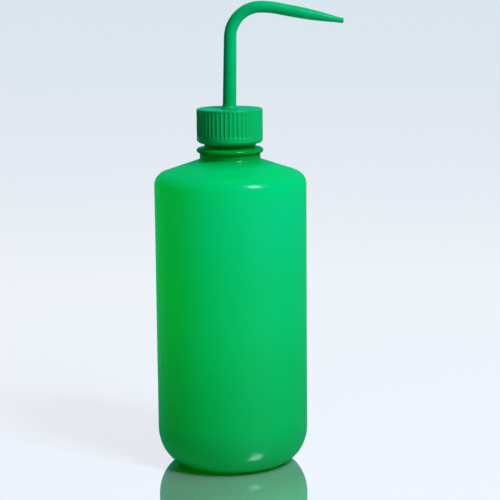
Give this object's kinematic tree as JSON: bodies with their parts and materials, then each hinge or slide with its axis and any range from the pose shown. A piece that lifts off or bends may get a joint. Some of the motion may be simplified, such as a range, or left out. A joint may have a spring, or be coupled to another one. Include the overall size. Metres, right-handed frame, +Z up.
{
  "type": "wash bottle",
  "caption": "Squeeze wash bottle with a ribbed screw closure, a bent tapered dispensing spout and an internal dip tube.",
  "frame": {"origin": "middle of the base, on the surface that the bottle stands on", "axes": "+Z up along the bottle's axis, from the base to the closure; +X the way the spout's arm points at rest; +Y across it"},
  "size_m": [0.0915, 0.0734, 0.2244],
  "materials": {
    "bottle_plastic": "soft translucent green low-density polyethylene with a waxy sheen",
    "cap_plastic": "solid green moulded polypropylene, satin",
    "spout_plastic": "green low-density polyethylene, satin",
    "seal_plastic": "natural milky polyethylene",
    "tube_plastic": "natural milky polyethylene tube"
  },
  "bodies": {
    "bottle": {"bottle": "bottle_plastic"},
    "seal": {"neck_seal": "seal_plastic"},
    "cap": {"screw_cap": "cap_plastic"},
    "spout": {"spout": "spout_plastic", "dip_tube": "tube_plastic"}
  },
  "joints": [
    {"name": "closure_lift", "type": "slide", "parent": "bottle", "child": "seal", "axis": [0, 0, 1], "range_m": [0, 0.0053]},
    {"name": "cap_turn", "type": "hinge", "parent": "seal", "child": "cap", "pos_m": [0, 0, 0.1689], "axis": [0, 0, 1], "range_deg": [0, 450]},
    {"name": "spout_swivel", "type": "hinge", "parent": "seal", "child": "spout", "pos_m": [0, 0, 0.1736], "axis": [0, 0, 1], "continuous": true}
  ],
  "couplings": [
    {"joint": "closure_lift", "follows": "cap_turn", "m_per_rad": 0.0006737}
  ]
}
